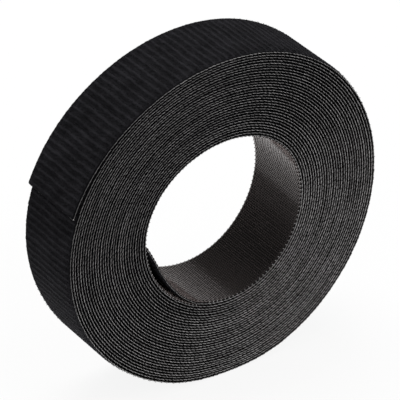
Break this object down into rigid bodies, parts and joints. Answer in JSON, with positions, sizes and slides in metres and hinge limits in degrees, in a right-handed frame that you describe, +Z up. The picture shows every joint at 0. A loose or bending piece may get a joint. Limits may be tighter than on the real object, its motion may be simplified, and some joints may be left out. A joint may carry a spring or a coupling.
{
  "type": "hook and loop tape roll",
  "caption": "Coreless roll of black back-to-back hook and loop tape standing on its rim, loop pile outside and hook face in the bore, with the tape's loose ends free to peel away.",
  "frame": {"origin": "on the floor under the roll's axis, at the middle of the tape's width", "axes": "+Y along the roll's axis towards its rear side, +X to the right seen from the front, +Z up"},
  "size_m": [0.1081, 0.025, 0.1086],
  "materials": {
    "loop_pile": "black woven web with a brushed pile of soft loops, matt",
    "hook_face": "black woven web set with rows of stiff cut filament hooks, satin"
  },
  "bodies": {
    "roll": {"wound_loop_web": "loop_pile", "wound_hook_web": "hook_face"},
    "outer_end_1": {"outer_end_loop_1": "loop_pile", "outer_end_hook_1": "hook_face"},
    "outer_end_2": {"outer_end_loop_2": "loop_pile", "outer_end_hook_2": "hook_face"},
    "outer_end_3": {"outer_end_loop_3": "loop_pile", "outer_end_hook_3": "hook_face"},
    "outer_end_4": {"outer_end_loop_4": "loop_pile", "outer_end_hook_4": "hook_face"},
    "outer_end_5": {"outer_end_loop_5": "loop_pile", "outer_end_hook_5": "hook_face"},
    "inner_end_1": {"inner_end_loop_1": "loop_pile", "inner_end_hook_1": "hook_face"},
    "inner_end_2": {"inner_end_loop_2": "loop_pile", "inner_end_hook_2": "hook_face"},
    "inner_end_3": {"inner_end_loop_3": "loop_pile", "inner_end_hook_3": "hook_face"},
    "inner_end_4": {"inner_end_loop_4": "loop_pile", "inner_end_hook_4": "hook_face"}
  },
  "joints": [
    {"name": "outer_end_peel", "type": "hinge", "parent": "roll", "child": "outer_end_1", "pos_m": [-0.02186, 0, 0.10393], "axis": [0, 1, 0], "range_deg": [0, 18], "stiffness_Nm_per_rad": 0.001},
    {"name": "outer_end_bend_2", "type": "hinge", "parent": "outer_end_1", "child": "outer_end_2", "pos_m": [-0.02977, 0, 0.09986], "axis": [0, 1, 0], "range_deg": [0, 18], "stiffness_Nm_per_rad": 0.001},
    {"name": "outer_end_bend_3", "type": "hinge", "parent": "outer_end_2", "child": "outer_end_3", "pos_m": [-0.03701, 0, 0.09461], "axis": [0, 1, 0], "range_deg": [0, 18], "stiffness_Nm_per_rad": 0.001},
    {"name": "outer_end_bend_4", "type": "hinge", "parent": "outer_end_3", "child": "outer_end_4", "pos_m": [-0.04338, 0, 0.08825], "axis": [0, 1, 0], "range_deg": [0, 18], "stiffness_Nm_per_rad": 0.001},
    {"name": "outer_end_bend_5", "type": "hinge", "parent": "outer_end_4", "child": "outer_end_5", "pos_m": [-0.04867, 0, 0.08091], "axis": [0, 1, 0], "range_deg": [0, 18], "stiffness_Nm_per_rad": 0.001},
    {"name": "inner_end_peel", "type": "hinge", "parent": "roll", "child": "inner_end_1", "pos_m": [-0.01008, 0, 0.02903], "axis": [0, 1, 0], "range_deg": [0, 18], "stiffness_Nm_per_rad": 0.001},
    {"name": "inner_end_bend_2", "type": "hinge", "parent": "inner_end_1", "child": "inner_end_2", "pos_m": [-0.01617, 0, 0.03404], "axis": [0, 1, 0], "range_deg": [0, 18], "stiffness_Nm_per_rad": 0.001},
    {"name": "inner_end_bend_3", "type": "hinge", "parent": "inner_end_2", "child": "inner_end_3", "pos_m": [-0.0206, 0, 0.04006], "axis": [0, 1, 0], "range_deg": [0, 18], "stiffness_Nm_per_rad": 0.001},
    {"name": "inner_end_bend_4", "type": "hinge", "parent": "inner_end_3", "child": "inner_end_4", "pos_m": [-0.02387, 0, 0.04655], "axis": [0, 1, 0], "range_deg": [0, 18], "stiffness_Nm_per_rad": 0.001}
  ],
  "couplings": [
    {"joint": "outer_end_bend_2", "follows": "outer_end_peel", "ratio": 1},
    {"joint": "outer_end_bend_3", "follows": "outer_end_peel", "ratio": 1},
    {"joint": "outer_end_bend_4", "follows": "outer_end_peel", "ratio": 1},
    {"joint": "outer_end_bend_5", "follows": "outer_end_peel", "ratio": 1},
    {"joint": "inner_end_bend_2", "follows": "inner_end_peel", "ratio": 1},
    {"joint": "inner_end_bend_3", "follows": "inner_end_peel", "ratio": 1},
    {"joint": "inner_end_bend_4", "follows": "inner_end_peel", "ratio": 1}
  ]
}
